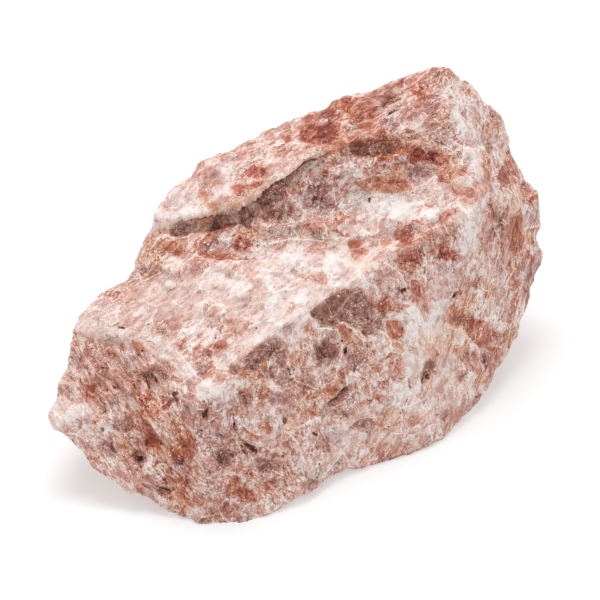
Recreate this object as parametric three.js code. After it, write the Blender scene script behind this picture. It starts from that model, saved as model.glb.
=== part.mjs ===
// A rough piece of broken aventurine, a quartz rock, as one closed solid.
// Millimetres. +X runs along the stone's long axis, +Z is up and the stone lies on z = 0.
import * as THREE from 'three';

// Driving sizes
const middle = [3.5, 1, 16];          // point inside the stone that the surface is measured from
const spacing = [2, 1, 1.05];         // the stone's proportions, used to space the surface points evenly
const gridSteps = 28;                 // steps along each side of the six patches
const edgeRound = 0.9;                // broken edges are worn to about this radius
const skin = 0.6;                     // stands out over the corners to make up for that wear
const stoneColour = '#c79b90';
const stoneRoughness = 0.6;

// Corners where the broken faces meet
const corners = {
  // the front lobe: its foot, the lifted toes and the tip
  foot1: [-25.5, -13.5, -0.4], foot2: [-21, -16.5, -0.8], foot3: [-17, -17.5, 0.3], foot4: [-9.5, -16.5, 1.5],
  notch: [-2.8, -14.8, 1.4], toe1: [-28.6, -9.3, 0.8], toe2: [-30.5, -5.5, 2.2], toe3: [-34, -0.5, 4.8],
  tip: [-38.2, 6.1, 10.5], brow: [-33, 9, 15],
  // the top of the end face, then the ridge that runs back along the ledge
  edge1: [-29.9, 11.7, 20.3], edge2: [-24.5, 3.5, 20], edge3: [-22, -3.5, 19], edge4: [-22, -11, 17.5],
  ridge1: [-12.5, -9, 22], ridge2: [-4, -8, 23.5], ridge3: [5.5, -7.5, 25.5], ridge4: [18.5, -5.5, 27],
  ridge5: [28.5, -4, 28],
  // the back of the ledge and the second, lower layer
  rear1: [-23.9, 13.3, 22.5], rear2: [-19.2, 14.6, 23.3],
  step1: [-15, 11, 25.5], step2: [-11, 7, 27], step3: [-5.5, 2.5, 27.5], step4: [6.5, -1.5, 27],
  step5: [19.5, -3, 27], shelf1: [-15, 15, 27.5], shelf2: [-9.5, 10.5, 29], shelf3: [-5.5, 6, 30],
  // the overhanging lip of the top slab and the gap below it
  lip1: [-11.8, 14.4, 30], lip2: [-4.5, 8.5, 33], lip3: [5, 7.5, 37], lip4: [13, 6.5, 38],
  lip5: [21.5, 5.5, 37], lip6: [31, 2.5, 33.5],
  gap1: [-12.2, 13.6, 28.5], gap2: [-5, 7, 31.5], gap3: [4.5, 5.5, 35.5], gap4: [12.5, 5, 37], gap5: [21, 4.5, 36],
  // the crest of the slab, up to the peak
  crest1: [-11.5, 17, 31.2], crest2: [-4.8, 17.5, 34.6], crest3: [1.5, 17, 35.7], crest4: [11, 15.5, 38],
  crest5: [18.5, 15, 39.8], crest6: [27, 13, 42.2], peak: [33, 10, 43.8], crown: [34, 6.5, 37.5],
  // the far end, top to bottom
  side1: [36.2, 9.5, 39.2], side2: [40.5, 7.3, 34.2], side3: [41.5, 5.5, 28], side4: [44.5, 2.5, 22],
  side5: [43, -0.5, 13.5], side6: [37, -4, 7.5], side7: [31.6, -7.2, 3.6], side8: [26.2, -10.7, 3.2], side9: [20.3, -13.2, 0.6],
  // the foot of the long side and the bend above it
  heel1: [13.5, -16.2, 0], heel2: [6.8, -15.8, 0], heel3: [2.2, -14.8, 0],
  bend1: [19, -7.5, 17], bend2: [11, -12, 9], bend3: [3, -12.5, 6.5], bend4: [-1, -13, 5.5],
  // the back
  back1: [-25, 16.5, 9], back2: [-15.5, 20, 18], back3: [-5.5, 24.5, 25], back4: [7, 25.5, 31],
  back5: [21.5, 24, 32], back6: [34.5, 19.5, 31], back7: [43, 14, 27],
  hip1: [-12, 23, 8], hip2: [5.5, 27, 9], hip3: [22, 26, 11], hip4: [35.5, 21.5, 12], hip5: [44, 12, 13],
  // the underside
  sole1: [-25, 6.5, 4], sole2: [-11.5, 13, 1.5], sole3: [2.5, 19, 0], sole4: [18, 20.5, -1.2], sole5: [31, 16, 0],
  sole6: [35, 4.5, 1.5], sole7: [-9.5, 0.5, 1], sole8: [11, 2, 1.2], sole9: [21, 0, 1], sole10: [11.5, 13, 1.2],
};

// Broken faces: how far the middle swells out, then the corners, anticlockwise from outside
const facets = {
  end: [0.4, 'tip toe3 toe2 toe1 foot1 edge4 edge3 edge2 edge1 brow'],
  ledgeLeft: [0.2, 'edge1 edge2 edge3 edge4 ridge1 step3 step2 step1 rear2 rear1'],
  ledgeRight: [0, 'ridge1 ridge2 ridge3 ridge4 step5 step4 step3'],
  riser: [0.3, 'rear2 step1 step2 step3 shelf3 shelf2 shelf1'],
  shelf: [0, 'shelf1 shelf2 shelf3 gap2 gap1'],
  upper: [0, 'step3 step4 step5 ridge4 ridge5 lip6 gap5 gap4 gap3 gap2 shelf3'],
  gapLeft: [0, 'gap1 gap2 lip2 lip1'], gapMid: [0, 'gap2 gap3 lip3 lip2'], gapRight: [0, 'gap3 gap4 lip4 lip3'],
  gapEnd: [0, 'gap4 gap5 lip5 lip4'], gapTail: [0, 'gap5 lip6 lip5'],
  slabLeft: [0.5, 'lip1 lip2 lip3 crest4 crest3 crest2 crest1'], slabMid: [0.4, 'lip3 lip4 lip5 crest6 crest5 crest4'],
  slabRight: [0.3, 'lip5 lip6 crown peak crest6'],
  flankLow: [0.3, 'foot1 foot2 foot3 foot4 notch bend4 bend3 ridge2 ridge1 edge4'],
  flankHigh: [0.4, 'bend3 bend2 bend1 ridge5 ridge4 ridge3 ridge2'],
  sideTop: [0.2, 'lip6 ridge5 side4 side3 side2 side1 peak crown'],
  side: [0.5, 'ridge5 bend1 bend2 heel1 side9 side8 side7 side6 side5 side4'],
  heel: [0.2, 'bend2 bend3 bend4 notch heel3 heel2 heel1'],
  rearLow: [0.3, 'tip brow edge1 rear1 rear2 back1'],
  rearHigh: [0.2, 'rear2 shelf1 gap1 lip1 crest1 back2 back1'],
  backA: [0.3, 'crest1 crest2 back3 back2'], backB: [0.4, 'crest2 crest3 crest4 back4 back3'],
  backC: [0.4, 'crest4 crest5 back5 back4'], backD: [0.3, 'crest5 crest6 peak back6 back5'],
  backE: [0.3, 'peak side1 side2 back7 back6'], backF: [0.3, 'side2 side3 side4 back7'],
  hipA: [0.4, 'back1 back2 back3 hip1'], hipB: [0.6, 'back3 back4 hip2 hip1'], hipC: [0.6, 'back4 back5 hip3 hip2'],
  hipD: [0.6, 'back5 back6 hip4 hip3'], hipE: [0.5, 'back6 back7 hip5 hip4'], hipF: [0.5, 'back7 side4 side5 hip5'],
  underA: [0.2, 'tip back1 sole1 toe3'], underB: [0.2, 'back1 hip1 sole2 sole1'],
  underC: [0.3, 'hip1 hip2 sole3 sole2'], underD: [0.3, 'hip2 hip3 sole4 sole3'],
  underE: [0.3, 'hip3 hip4 sole5 sole4'], underF: [0.3, 'hip4 hip5 sole6 sole5'],
  underG: [0.3, 'hip5 side5 side6 sole6'], underH: [0.2, 'side6 side7 side8 sole6'],
  underI: [0, 'side8 side9 heel1 sole9 sole6'],
  soleA: [0, 'toe3 sole1 sole7 toe2'], soleB: [0, 'toe2 sole7 toe1'], soleC: [0, 'toe1 sole7 foot2 foot1'],
  soleD: [0, 'foot2 sole7 notch foot4 foot3'], soleE: [0, 'notch sole7 sole8 heel3'],
  soleF: [0, 'heel3 sole8 sole9 heel1 heel2'], soleG: [0, 'sole1 sole2 sole7'], soleH: [0, 'sole2 sole3 sole10 sole7'],
  soleI: [0, 'sole7 sole10 sole8'], soleJ: [0, 'sole3 sole4 sole5 sole10'], soleK: [0, 'sole10 sole5 sole6 sole9 sole8'],
};

// Furrows and lips: the corners they follow, height in mm (a furrow is below 0), half width in mm
const seams = {
  underLip: ['gap1 gap2 gap3 gap4 gap5', -1.1, 0.7],
  lip: ['lip1 lip2 lip3 lip4 lip5', 0.15, 0.8],
};

// Relief on every face: height, size and seed of each layer
const swells = [[0.55, 13, 1]];
const chipping = [[0.6, 7.5, 11], [0.42, 3.4, 21]];

// Small vector helpers on plain arrays
const add = (a, b) => [a[0] + b[0], a[1] + b[1], a[2] + b[2]];
const subtract = (a, b) => [a[0] - b[0], a[1] - b[1], a[2] - b[2]];
const scale = (a, k) => [a[0] * k, a[1] * k, a[2] * k];
const dot = (a, b) => a[0] * b[0] + a[1] * b[1] + a[2] * b[2];
const cross = (a, b) => [a[1] * b[2] - a[2] * b[1], a[2] * b[0] - a[0] * b[2], a[0] * b[1] - a[1] * b[0]];
const long = (a) => Math.hypot(a[0], a[1], a[2]);
const unit = (a) => scale(a, 1 / long(a));

// Each facet as a fan of triangles about its swollen middle, measured from the point inside
function facetTriangles() {
  const triangles = [];
  for (const [swell, names] of Object.values(facets)) {
    const ring = names.split(' ').map((name) => subtract(corners[name], middle));
    const after = ring.map((_, i) => ring[(i + 1) % ring.length]);
    const outward = unit(ring.map((a, i) => cross(a, after[i])).reduce(add));
    const hub = add(scale(ring.reduce(add), 1 / ring.length), scale(outward, swell));
    ring.forEach((a, i) => {
      const b = after[i];
      const across = cross(subtract(b, a), subtract(hub, a));
      triangles.push({ walls: [cross(a, b), cross(b, hub), cross(hub, a)], across, level: dot(a, across) });
    });
  }
  return triangles;
}
const triangles = facetTriangles();

// Distance from the point inside to the outermost facet along a ray
function reach(ray) {
  let far = 0;
  for (const { walls, across, level } of triangles) {
    if (walls.every((wall) => dot(ray, wall) > -1e-9)) far = Math.max(far, level / dot(ray, across));
  }
  return far;
}

// A repeatable number from 0 to 1 for each whole-number cell
function hashed(x, y, z, seed) {
  let h = Math.imul(x, 0x8da6b343) ^ Math.imul(y, 0xd8163841) ^ Math.imul(z, 0xcb1ab31f) ^ Math.imul(seed, 0x9e3779b1);
  h = Math.imul(h ^ (h >>> 15), 0x2c1b3c6d);
  h = Math.imul(h ^ (h >>> 12), 0x297a2d39);
  return ((h ^ (h >>> 15)) >>> 0) / 4294967296;
}

// Smooth lumps of the given size in mm, from -1 to 1
function swellAt(point, size, seed) {
  const p = scale(point, 1 / size);
  const cell = p.map(Math.floor);
  const ease = p.map((v, i) => (v - cell[i]) ** 2 * (3 - 2 * (v - cell[i])));
  let total = 0;
  for (let k = 0; k < 8; k++) {
    const corner = [k & 1, (k >> 1) & 1, (k >> 2) & 1];
    const weight = corner.reduce((w, on, i) => w * (on ? ease[i] : 1 - ease[i]), 1);
    total += weight * hashed(cell[0] + corner[0], cell[1] + corner[1], cell[2] + corner[2], seed);
  }
  return 2 * total - 1;
}

// Broken flats of the given size in mm: each scattered cell is its own small tilted plane
function chipAt(point, size, seed) {
  const p = scale(point, 1 / size);
  const cell = p.map(Math.floor);
  const nearest = [{ gap: 9, level: 0 }, { gap: 9, level: 0 }];
  for (let k = 0; k < 27; k++) {
    const near = [cell[0] + (k % 3) - 1, cell[1] + (Math.floor(k / 3) % 3) - 1, cell[2] + Math.floor(k / 9) - 1];
    const random = (i) => hashed(near[0], near[1], near[2], seed + i);
    const away = near.map((c, i) => p[i] - (c + 0.15 + 0.7 * random(i + 1)));
    const tilt = near.map((_, i) => 2 * random(i + 4) - 1);
    const found = { gap: long(away), level: 1.4 * dot(away, tilt) + 1.2 * random(7) - 0.6 };
    if (found.gap < nearest[0].gap) nearest.unshift(found);
    else if (found.gap < nearest[1].gap) nearest.splice(1, 0, found);
  }
  const blend = 0.5 + 0.5 * Math.min(1, (nearest[1].gap - nearest[0].gap) / 0.12);
  return nearest[0].level * blend + nearest[1].level * (1 - blend);
}

// Distance from a point to the line through some corners
function distanceAlong(point, names) {
  const line = names.split(' ').map((name) => subtract(corners[name], middle));
  let near = 99;
  for (let i = 0; i < line.length - 1; i++) {
    const run = subtract(line[i + 1], line[i]);
    const t = Math.min(1, Math.max(0, dot(subtract(point, line[i]), run) / dot(run, run)));
    near = Math.min(near, long(subtract(point, add(line[i], scale(run, t)))));
  }
  return near;
}

// Height of the relief over the worn facets, in mm
function reliefAt(point) {
  let height = skin;
  for (const [amount, size, seed] of swells) height += amount * swellAt(point, size, seed);
  for (const [amount, size, seed] of chipping) height += amount * chipAt(point, size, seed);
  for (const [names, amount, width] of Object.values(seams)) {
    height += amount * Math.exp(-((distanceAlong(point, names) / width) ** 2));
  }
  return height;
}

// One point of the surface: facets, worn edges by averaging a small ring, then relief along the normal
function surfacePoint(direction) {
  const ray = unit(direction);
  const first = scale(ray, reach(ray));
  const helper = Math.abs(ray[2]) < 0.8 ? [0, 0, 1] : [1, 0, 0];
  const east = unit(cross(ray, helper));
  const north = cross(ray, east);
  const ring = [];
  for (let k = 0; k < 8; k++) {
    const turn = (Math.PI * k) / 4;
    const step = add(scale(east, edgeRound * Math.cos(turn)), scale(north, edgeRound * Math.sin(turn)));
    const aside = unit(add(first, step));
    ring.push(scale(aside, reach(aside)));
  }
  const base = scale(ray, (2 * long(first) + ring.reduce((sum, p) => sum + long(p), 0)) / 10);
  let normal = unit(ring.map((p, k) => cross(subtract(p, first), subtract(ring[(k + 1) % 8], first))).reduce(add));
  normal = unit(add(scale(normal, Math.sign(dot(normal, ray))), scale(ray, 0.35)));
  const point = add(add(base, scale(normal, reliefAt(base))), middle);
  return [point[0], point[1], Math.max(0, point[2])];
}

// Closed surface over the outside of a cube lattice, so neighbouring patches share their points
function stoneGeometry(steps) {
  const bend = (i) => Math.tan(((2 * i) / steps - 1) * (Math.PI / 4));
  const positions = [];
  const numbers = new Map();
  const vertex = (i, j, k) => {
    const key = (i * (steps + 1) + j) * (steps + 1) + k;
    if (!numbers.has(key)) {
      numbers.set(key, positions.length);
      positions.push(surfacePoint([bend(i) * spacing[0], bend(j) * spacing[1], bend(k) * spacing[2]]));
    }
    return numbers.get(key);
  };
  const patches = [
    (a, b) => vertex(steps, a, b), (a, b) => vertex(0, b, a), (a, b) => vertex(b, steps, a),
    (a, b) => vertex(a, 0, b), (a, b) => vertex(a, b, steps), (a, b) => vertex(b, a, 0),
  ];
  const index = [];
  for (const patch of patches) {
    for (let a = 0; a < steps; a++) {
      for (let b = 0; b < steps; b++) {
        const [p, q, r, s] = [patch(a, b), patch(a + 1, b), patch(a + 1, b + 1), patch(a, b + 1)];
        const even = long(subtract(positions[p], positions[r])) < long(subtract(positions[q], positions[s]));
        index.push(...(even ? [p, q, r, p, r, s] : [p, q, s, q, r, s]));
      }
    }
  }
  const geometry = new THREE.BufferGeometry();
  geometry.setAttribute('position', new THREE.Float32BufferAttribute(positions.flat(), 3));
  geometry.setIndex(index);
  return geometry;
}

// Put the middle of the stone's footprint over the origin
function centred(geometry) {
  geometry.computeBoundingBox();
  const box = geometry.boundingBox;
  geometry.translate(-(box.min.x + box.max.x) / 2, -(box.min.y + box.max.y) / 2, -box.min.z);
  geometry.computeVertexNormals();
  return geometry;
}

const stoneMaterial = new THREE.MeshStandardMaterial({ color: stoneColour, roughness: stoneRoughness, metalness: 0 });
const stone = new THREE.Mesh(centred(stoneGeometry(gridSteps)), stoneMaterial);
stone.name = 'stone';

const group = new THREE.Group();
group.name = 'roughAventurine';
group.add(stone);

export default group;
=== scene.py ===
import math
from functools import partial
import bpy
import numpy as np
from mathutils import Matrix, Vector
from mathutils.bvhtree import BVHTree


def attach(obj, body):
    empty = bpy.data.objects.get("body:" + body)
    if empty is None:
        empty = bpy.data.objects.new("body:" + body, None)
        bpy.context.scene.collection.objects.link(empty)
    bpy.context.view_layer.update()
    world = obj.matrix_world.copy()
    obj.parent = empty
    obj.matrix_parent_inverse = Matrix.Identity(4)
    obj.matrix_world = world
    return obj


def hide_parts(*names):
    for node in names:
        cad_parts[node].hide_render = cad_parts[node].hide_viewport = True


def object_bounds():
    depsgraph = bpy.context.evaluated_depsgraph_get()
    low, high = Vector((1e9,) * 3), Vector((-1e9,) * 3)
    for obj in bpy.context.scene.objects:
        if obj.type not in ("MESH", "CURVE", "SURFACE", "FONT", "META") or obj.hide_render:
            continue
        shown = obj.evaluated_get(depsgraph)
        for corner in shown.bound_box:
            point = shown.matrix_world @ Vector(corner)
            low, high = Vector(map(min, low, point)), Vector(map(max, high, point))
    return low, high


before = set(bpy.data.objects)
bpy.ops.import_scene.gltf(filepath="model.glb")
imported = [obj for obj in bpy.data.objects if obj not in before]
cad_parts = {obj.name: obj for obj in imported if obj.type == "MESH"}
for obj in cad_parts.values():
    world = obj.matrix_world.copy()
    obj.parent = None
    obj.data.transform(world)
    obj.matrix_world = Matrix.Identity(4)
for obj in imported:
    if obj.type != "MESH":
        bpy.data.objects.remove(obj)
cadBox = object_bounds()
mm = 0.001  # the scene is in metres, the sizes below are in millimetres

# Camera: the photograph's viewing angle, and the frame that its pixels are counted in
photoView = {"size": 600, "turn": -35, "rise": 30, "lens": 150, "sensor": 36, "pixelsPerMm": 7.14,
             "aim": [0, 0, 20]}

# The stone's broken faces: corners in mm, then each face with the swell of its middle and its corners
stone = {
    "middle": [3.5, 1, 16], "spacing": [2, 1, 1.05], "cadSteps": 28, "cadEdgeRound": 0.9, "skin": 0.6,
    "steps": 128, "edgeRound": 0.5,
    "corners": {
        "foot1": [-25.5, -13.5, -0.4], "foot2": [-21, -16.5, -0.8], "foot3": [-17, -17.5, 0.3],
        "foot4": [-9.5, -16.5, 1.5], "notch": [-2.8, -14.8, 1.4], "toe1": [-28.6, -9.3, 0.8],
        "toe2": [-30.5, -5.5, 2.2], "toe3": [-34, -0.5, 4.8], "tip": [-38.2, 6.1, 10.5], "brow": [-33, 9, 15],
        "edge1": [-29.9, 11.7, 20.3], "edge2": [-24.5, 3.5, 20], "edge3": [-22, -3.5, 19],
        "edge4": [-22, -11, 17.5], "ridge1": [-12.5, -9, 22], "ridge2": [-4, -8, 23.5],
        "ridge3": [5.5, -7.5, 25.5], "ridge4": [18.5, -5.5, 27], "ridge5": [28.5, -4, 28],
        "rear1": [-23.9, 13.3, 22.5], "rear2": [-19.2, 14.6, 23.3], "step1": [-15, 11, 25.5],
        "step2": [-11, 7, 27], "step3": [-5.5, 2.5, 27.5], "step4": [6.5, -1.5, 27], "step5": [19.5, -3, 27],
        "shelf1": [-15, 15, 27.5], "shelf2": [-9.5, 10.5, 29], "shelf3": [-5.5, 6, 30],
        "lip1": [-11.8, 14.4, 30], "lip2": [-4.5, 8.5, 33], "lip3": [5, 7.5, 37], "lip4": [13, 6.5, 38],
        "lip5": [21.5, 5.5, 37], "lip6": [31, 2.5, 33.5], "gap1": [-12.2, 13.6, 28.5], "gap2": [-5, 7, 31.5],
        "gap3": [4.5, 5.5, 35.5], "gap4": [12.5, 5, 37], "gap5": [21, 4.5, 36], "crest1": [-11.5, 17, 31.2],
        "crest2": [-4.8, 17.5, 34.6], "crest3": [1.5, 17, 35.7], "crest4": [11, 15.5, 38],
        "crest5": [18.5, 15, 39.8], "crest6": [27, 13, 42.2], "peak": [33, 10, 43.8],
        "crown": [34, 6.5, 37.5], "side1": [36.2, 9.5, 39.2], "side2": [40.5, 7.3, 34.2],
        "side3": [41.5, 5.5, 28], "side4": [44.5, 2.5, 22], "side5": [43, -0.5, 13.5], "side6": [37, -4, 7.5],
        "side7": [31.6, -7.2, 3.6], "side8": [26.2, -10.7, 3.2], "side9": [20.3, -13.2, 0.6],
        "heel1": [13.5, -16.2, 0], "heel2": [6.8, -15.8, 0], "heel3": [2.2, -14.8, 0],
        "bend1": [19, -7.5, 17], "bend2": [11, -12, 9], "bend3": [3, -12.5, 6.5], "bend4": [-1, -13, 5.5],
        "back1": [-25, 16.5, 9], "back2": [-15.5, 20, 18], "back3": [-5.5, 24.5, 25], "back4": [7, 25.5, 31],
        "back5": [21.5, 24, 32], "back6": [34.5, 19.5, 31], "back7": [43, 14, 27], "hip1": [-12, 23, 8],
        "hip2": [5.5, 27, 9], "hip3": [22, 26, 11], "hip4": [35.5, 21.5, 12], "hip5": [44, 12, 13],
        "sole1": [-25, 6.5, 4], "sole2": [-11.5, 13, 1.5], "sole3": [2.5, 19, 0], "sole4": [18, 20.5, -1.2],
        "sole5": [31, 16, 0], "sole6": [35, 4.5, 1.5], "sole7": [-9.5, 0.5, 1], "sole8": [11, 2, 1.2],
        "sole9": [21, 0, 1], "sole10": [11.5, 13, 1.2],
    },
    "facets": {
        "end": (0.4, "tip toe3 toe2 toe1 foot1 edge4 edge3 edge2 edge1 brow"),
        "ledgeLeft": (0.2, "edge1 edge2 edge3 edge4 ridge1 step3 step2 step1 rear2 rear1"),
        "ledgeRight": (0, "ridge1 ridge2 ridge3 ridge4 step5 step4 step3"),
        "riser": (0.3, "rear2 step1 step2 step3 shelf3 shelf2 shelf1"),
        "shelf": (0, "shelf1 shelf2 shelf3 gap2 gap1"),
        "upper": (0, "step3 step4 step5 ridge4 ridge5 lip6 gap5 gap4 gap3 gap2 shelf3"),
        "gapLeft": (0, "gap1 gap2 lip2 lip1"), "gapMid": (0, "gap2 gap3 lip3 lip2"),
        "gapRight": (0, "gap3 gap4 lip4 lip3"), "gapEnd": (0, "gap4 gap5 lip5 lip4"),
        "gapTail": (0, "gap5 lip6 lip5"), "slabLeft": (0.5, "lip1 lip2 lip3 crest4 crest3 crest2 crest1"),
        "slabMid": (0.4, "lip3 lip4 lip5 crest6 crest5 crest4"),
        "slabRight": (0.3, "lip5 lip6 crown peak crest6"),
        "flankLow": (0.3, "foot1 foot2 foot3 foot4 notch bend4 bend3 ridge2 ridge1 edge4"),
        "flankHigh": (0.4, "bend3 bend2 bend1 ridge5 ridge4 ridge3 ridge2"),
        "sideTop": (0.2, "lip6 ridge5 side4 side3 side2 side1 peak crown"),
        "side": (0.5, "ridge5 bend1 bend2 heel1 side9 side8 side7 side6 side5 side4"),
        "heel": (0.2, "bend2 bend3 bend4 notch heel3 heel2 heel1"),
        "rearLow": (0.3, "tip brow edge1 rear1 rear2 back1"),
        "rearHigh": (0.2, "rear2 shelf1 gap1 lip1 crest1 back2 back1"),
        "backA": (0.3, "crest1 crest2 back3 back2"), "backB": (0.4, "crest2 crest3 crest4 back4 back3"),
        "backC": (0.4, "crest4 crest5 back5 back4"), "backD": (0.3, "crest5 crest6 peak back6 back5"),
        "backE": (0.3, "peak side1 side2 back7 back6"), "backF": (0.3, "side2 side3 side4 back7"),
        "hipA": (0.4, "back1 back2 back3 hip1"), "hipB": (0.6, "back3 back4 hip2 hip1"),
        "hipC": (0.6, "back4 back5 hip3 hip2"), "hipD": (0.6, "back5 back6 hip4 hip3"),
        "hipE": (0.5, "back6 back7 hip5 hip4"), "hipF": (0.5, "back7 side4 side5 hip5"),
        "underA": (0.2, "tip back1 sole1 toe3"), "underB": (0.2, "back1 hip1 sole2 sole1"),
        "underC": (0.3, "hip1 hip2 sole3 sole2"), "underD": (0.3, "hip2 hip3 sole4 sole3"),
        "underE": (0.3, "hip3 hip4 sole5 sole4"), "underF": (0.3, "hip4 hip5 sole6 sole5"),
        "underG": (0.3, "hip5 side5 side6 sole6"), "underH": (0.2, "side6 side7 side8 sole6"),
        "underI": (0, "side8 side9 heel1 sole9 sole6"), "soleA": (0, "toe3 sole1 sole7 toe2"),
        "soleB": (0, "toe2 sole7 toe1"), "soleC": (0, "toe1 sole7 foot2 foot1"),
        "soleD": (0, "foot2 sole7 notch foot4 foot3"), "soleE": (0, "notch sole7 sole8 heel3"),
        "soleF": (0, "heel3 sole8 sole9 heel1 heel2"), "soleG": (0, "sole1 sole2 sole7"),
        "soleH": (0, "sole2 sole3 sole10 sole7"), "soleI": (0, "sole7 sole10 sole8"),
        "soleJ": (0, "sole3 sole4 sole5 sole10"), "soleK": (0, "sole10 sole5 sole6 sole9 sole8"),
    },
    # furrows and lips: corners they follow, height, half width in mm
    "seams": {"underLip": ("gap1 gap2 gap3 gap4 gap5", -1.1, 0.7),
              "lip": ("lip1 lip2 lip3 lip4 lip5", 0.15, 0.8)},
    # relief: height and size in mm, seed
    "swells": [(0.55, 13, 1)], "chipping": [(0.45, 7.5, 11), (0.28, 3.4, 21)],
    "fineChipping": [(0.12, 1.6, 31), (0.05, 0.8, 41)],
    # chips, in parts of their size: seats keep off their cell's walls, slope, highest level, blend between two
    "chipShape": {"inset": 0.15, "slope": 1.4, "level": 0.6, "blend": 0.12},
    "rayShare": 0.35,  # how far the relief leans from the face's normal to the ray
}
innerPoint = np.array(stone["middle"], float)
cornerPlaces = {name: np.array(place, float) - innerPoint for name, place in stone["corners"].items()}


def unit(vectors):
    return vectors / np.linalg.norm(vectors, axis=-1, keepdims=True)


# Each facet is a fan of triangles about its middle, pushed out along the facet's normal by its swell.
def facetTriangles():
    fan = []
    for number, (swell, names) in enumerate(stone["facets"].values()):
        ring = np.array([cornerPlaces[name] for name in names.split()])
        after = np.roll(ring, -1, axis=0)
        hub = ring.mean(0) + swell * unit(np.cross(ring, after).sum(0))
        fan += [(a, b, hub, number) for a, b in zip(ring, after)]
    return fan


facetFan = facetTriangles()


# Distance along each ray from the inner point to the outermost facet: a.n / ray.n inside its three walls.
def reach(rays):
    onEdge = -1e-9  # a ray along an edge belongs to both sides of it
    far = np.zeros(len(rays))
    hit = np.zeros(len(rays), int)
    for a, b, hub, number in facetFan:
        walls = [np.cross(a, b), np.cross(b, hub), np.cross(hub, a)]
        inside = np.all([rays @ wall > onEdge for wall in walls], axis=0)
        across = np.cross(b - a, hub - a)
        distance = (a @ across) / (rays[inside] @ across)
        hit[inside] = np.where(distance > far[inside], number, hit[inside])
        far[inside] = np.maximum(far[inside], distance)
    return far, hit


# A repeatable number from 0 to 1 for each whole-number cell: products mixed by shifts and odd multipliers.
def hashed(cell, seed):
    c = cell.astype(np.int64).astype(np.uint32)
    c = c * np.array([0x8da6b343, 0xd8163841, 0xcb1ab31f], np.uint32)
    h = c[..., 0] ^ c[..., 1] ^ c[..., 2] ^ np.uint32((seed * 0x9e3779b1) & 0xffffffff)
    h = (h ^ (h >> np.uint32(15))) * np.uint32(0x2c1b3c6d)
    h = (h ^ (h >> np.uint32(12))) * np.uint32(0x297a2d39)
    return (h ^ (h >> np.uint32(15))) / 2.0 ** 32


# Smooth lumps from -1 to 1: hashed values at the cell's eight corners, blended by 3t^2 - 2t^3.
def swellAt(points, size, seed):
    p = points / size
    cell = np.floor(p)
    ease = (p - cell) ** 2 * (3 - 2 * (p - cell))
    total = 0
    for k in range(8):
        corner = np.array([k & 1, k >> 1 & 1, k >> 2 & 1])
        total = total + np.prod(np.where(corner, ease, 1 - ease), axis=-1) * hashed(cell + corner, seed)
    return 2 * total - 1


# Broken flats from -1 to 1: the nearest scattered seat gives a small tilted plane, blended near the next one.
def chipAt(points, size, seed):
    shape = stone["chipShape"]
    p = points / size
    cell = np.floor(p)
    nearGap = nextGap = np.full(len(p), np.inf)
    nearLevel = nextLevel = np.zeros(len(p))
    for k in range(27):
        near = cell + np.array([k % 3 - 1, k // 3 % 3 - 1, k // 9 - 1])
        random = [hashed(near, seed + i) for i in range(1, 8)]
        away = p - (near + shape["inset"] + (1 - 2 * shape["inset"]) * np.stack(random[:3], -1))
        tilt = 2 * np.stack(random[3:6], -1) - 1
        gap = np.linalg.norm(away, axis=-1)
        level = shape["slope"] * (away * tilt).sum(-1) + shape["level"] * (2 * random[6] - 1)
        first = gap < nearGap
        second = ~first & (gap < nextGap)
        nextGap = np.where(first, nearGap, np.where(second, gap, nextGap))
        nextLevel = np.where(first, nearLevel, np.where(second, level, nextLevel))
        nearGap, nearLevel = np.where(first, gap, nearGap), np.where(first, level, nearLevel)
    blend = 0.5 + 0.5 * np.clip((nextGap - nearGap) / shape["blend"], 0, 1)
    return nearLevel * blend + nextLevel * (1 - blend)


# Distance from each point to the line through some corners.
def distanceAlong(points, names):
    line = [cornerPlaces[name] for name in names.split()]
    near = np.full(len(points), np.inf)
    for a, b in zip(line[:-1], line[1:]):
        t = np.clip((points - a) @ (b - a) / ((b - a) @ (b - a)), 0, 1)
        near = np.minimum(near, np.linalg.norm(points - a - t[:, None] * (b - a), axis=1))
    return near


# Surface points for rays: the facets, edges worn by averaging a ring of eight neighbours at edgeRound, then
# lumps, chips and furrows raised along the facet's normal. Points below the floor are pressed flat on it.
def surfacePoints(directions, edgeRound, chipping):
    rays = unit(directions)
    far, hit = reach(rays)
    first = rays * far[:, None]
    helper = np.where(np.abs(rays[:, 2:3]) < 0.8, [[0, 0, 1.0]], [[1.0, 0, 0]])  # x for rays that run upward
    east = unit(np.cross(rays, helper))
    north = np.cross(rays, east)
    ring = []
    for turn in np.arange(8) * math.pi / 4:
        aside = unit(first + edgeRound * (east * math.cos(turn) + north * math.sin(turn)))
        ring.append(aside * reach(aside)[0][:, None])
    # the mean of the ring of 8 and the ray itself, which counts twice
    base = rays * ((2 * far + sum(np.linalg.norm(p, axis=1) for p in ring)) / 10)[:, None]
    normal = unit(sum(np.cross(ring[k] - first, ring[(k + 1) % 8] - first) for k in range(8)))
    normal = unit(normal * np.sign((normal * rays).sum(1))[:, None] + stone["rayShare"] * rays)
    relief = stone["skin"]
    for amount, size, seed in stone["swells"]:
        relief = relief + amount * swellAt(base, size, seed)
    for amount, size, seed in chipping:
        relief = relief + amount * chipAt(base, size, seed)
    for names, amount, width in stone["seams"].values():
        relief = relief + amount * np.exp(-(distanceAlong(base, names) / width) ** 2)
    places = base + normal * relief[:, None] + innerPoint
    places[:, 2] = np.maximum(places[:, 2], 0)
    return places, hit


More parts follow.
